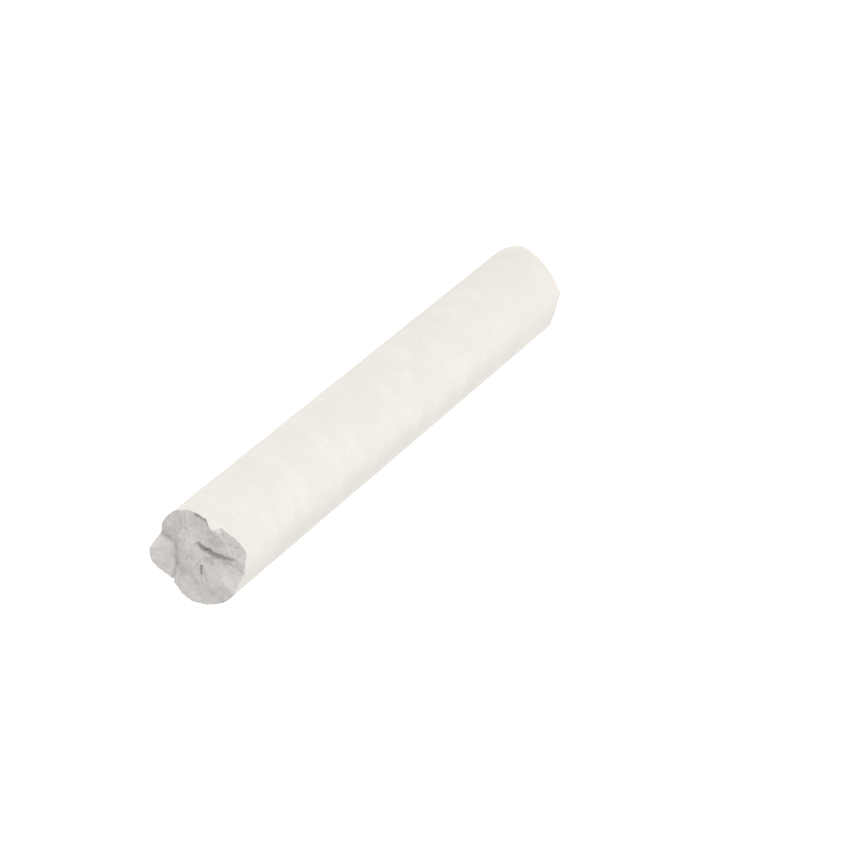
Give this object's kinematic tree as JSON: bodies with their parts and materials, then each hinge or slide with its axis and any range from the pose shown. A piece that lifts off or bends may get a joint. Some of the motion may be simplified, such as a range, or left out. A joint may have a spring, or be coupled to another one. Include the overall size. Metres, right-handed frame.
{
  "type": "chalk stick",
  "caption": "White blackboard chalk stick: a plain round moulded bar with one flat round-edged end and a jagged snapped end.",
  "frame": {"origin": "centre of the flat moulded end's face, which the stick stands on", "axes": "+Z along the stick from the flat end up to the snapped end; the highest side of the break is near -Y and the separate tongue of the break is between +X and +Y"},
  "size_m": [0.0094, 0.0094, 0.0814],
  "materials": {
    "moulded_chalk": "matte"
  },
  "bodies": {
    "root": {"chalk_stick": "moulded_chalk"}
  },
  "joints": []
}
